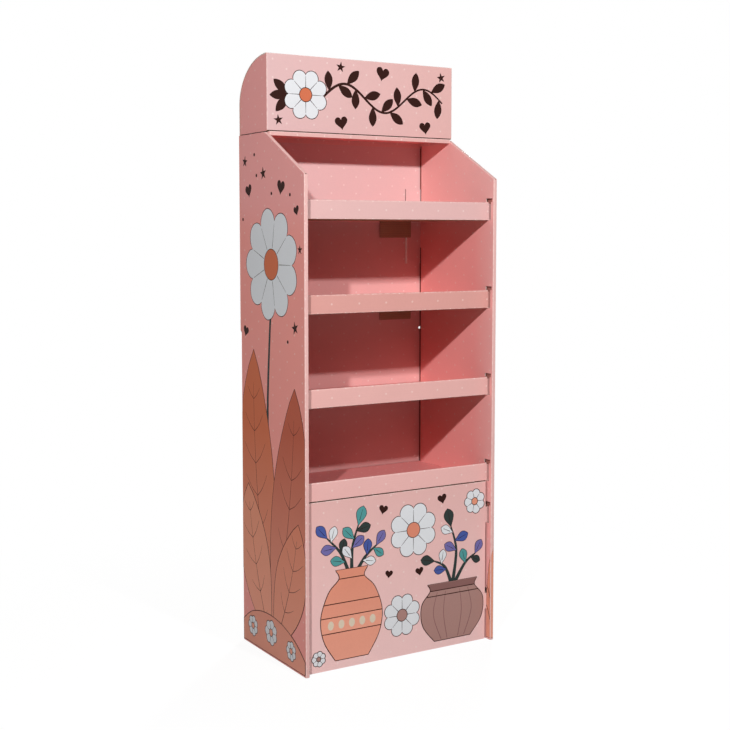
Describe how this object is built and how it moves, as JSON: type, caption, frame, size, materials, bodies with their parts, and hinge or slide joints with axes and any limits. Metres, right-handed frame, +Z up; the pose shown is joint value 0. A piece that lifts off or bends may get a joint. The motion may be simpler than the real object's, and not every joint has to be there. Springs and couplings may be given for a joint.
{
  "type": "cardboard display stand",
  "caption": "Free-standing pink cardboard display stand with open shelves hooked between hollow folded side walls, a closed base and a header box with a rolled back.",
  "frame": {"origin": "centre of the stand's outline, on the ground", "axes": "+Z up, +Y from the open front to the back, +X to the right as seen from the front"},
  "size_m": [0.6, 0.377, 1.614],
  "materials": {
    "printed_board": "matt pink print with small white dots on corrugated board",
    "plain_board": "bare brown corrugated board"
  },
  "bodies": {
    "root": {"left_side_wall": "printed_board", "right_side_wall": "printed_board", "back_panel": "printed_board", "rear_stiffener": "plain_board", "shelf_1": "printed_board", "shelf_2": "printed_board", "shelf_3": "printed_board", "shelf_4": "printed_board", "base_front": "printed_board", "base_cross_long": "plain_board", "base_cross_short": "plain_board", "roof_tray": "printed_board", "header_box": "printed_board"}
  },
  "joints": []
}
